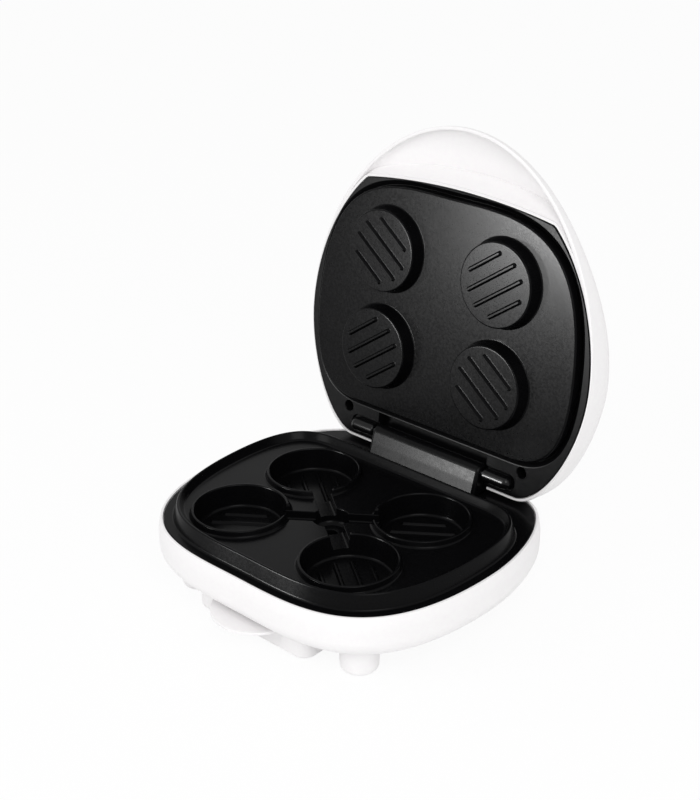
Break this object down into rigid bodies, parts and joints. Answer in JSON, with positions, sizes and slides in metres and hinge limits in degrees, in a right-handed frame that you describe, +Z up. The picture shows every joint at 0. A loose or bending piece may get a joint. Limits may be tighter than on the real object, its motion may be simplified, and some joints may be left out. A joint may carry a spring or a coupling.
{
  "type": "hamburger grill",
  "caption": "Countertop hamburger grill with a hinged domed lid, round ringed wells below, ribbed pressing discs above and a pull-out drip tray.",
  "frame": {"origin": "on the table, under the middle of the open grill's bounding box", "axes": "+X to the grill's right seen from its front, +Y to the rear where the hinge is, +Z up"},
  "size_m": [0.2248, 0.2338, 0.2671],
  "materials": {
    "white_plastic": "moulded, glossy white",
    "nonstick_coating": "cast aluminium under a satin black non-stick coating",
    "black_plastic": "semi-gloss black, heat resistant",
    "pad_rubber": "matt black",
    "steel": "bright steel",
    "tube_steel": "heat-dulled steel tube",
    "sheet_aluminium": "bright rolled sheet",
    "ceramic": "matt off-white ceramic or phenolic body",
    "lead_live_sleeve": "silicone sleeve, brown",
    "lead_neutral_sleeve": "silicone sleeve, blue",
    "red_lens": "clear-coloured pilot lens",
    "green_lens": "clear-coloured pilot lens"
  },
  "bodies": {
    "base": {"lower_housing": "white_plastic", "foot_pad_front_left": "pad_rubber", "foot_pad_front_right": "pad_rubber", "foot_pad_rear_left": "pad_rubber", "foot_pad_rear_right": "pad_rubber", "lower_cooking_plate": "nonstick_coating", "lower_heating_element": "tube_steel", "lower_element_clamp": "sheet_aluminium", "lower_heat_shield": "sheet_aluminium", "lower_thermostat": "ceramic", "thermal_fuse": "ceramic", "terminal_block": "ceramic", "lead_live": "lead_live_sleeve", "lead_neutral": "lead_neutral_sleeve", "cord_inlet": "black_plastic", "hinge_block": "black_plastic", "plate_screw_front_left": "steel", "plate_screw_front_right": "steel", "plate_screw_rear_left": "steel", "plate_screw_rear_right": "steel", "hinge_pin_left": "steel", "hinge_pin_right": "steel", "hinge_block_screw_left": "steel", "hinge_block_screw_right": "steel", "lower_clamp_screw_left": "steel", "lower_clamp_screw_right": "steel"},
    "tray": {"drip_tray": "white_plastic"},
    "lid": {"lid_shell": "white_plastic", "lid_frame": "black_plastic", "upper_cooking_plate": "nonstick_coating", "upper_heating_element": "tube_steel", "upper_element_clamp": "sheet_aluminium", "upper_heat_shield": "sheet_aluminium", "upper_thermostat": "ceramic", "power_lamp": "red_lens", "ready_lamp": "green_lens", "upper_clamp_screw_left": "steel", "upper_clamp_screw_right": "steel", "lid_screw_left": "steel", "lid_screw_right": "steel"}
  },
  "joints": [
    {"name": "lid_hinge", "type": "hinge", "parent": "base", "child": "lid", "pos_m": [0, 0.06533, 0.06], "axis": [1, 0, 0], "range_deg": [0, 97.8]},
    {"name": "tray_slide", "type": "slide", "parent": "base", "child": "tray", "axis": [0, -1, 0], "range_m": [0, 0.09]}
  ]
}
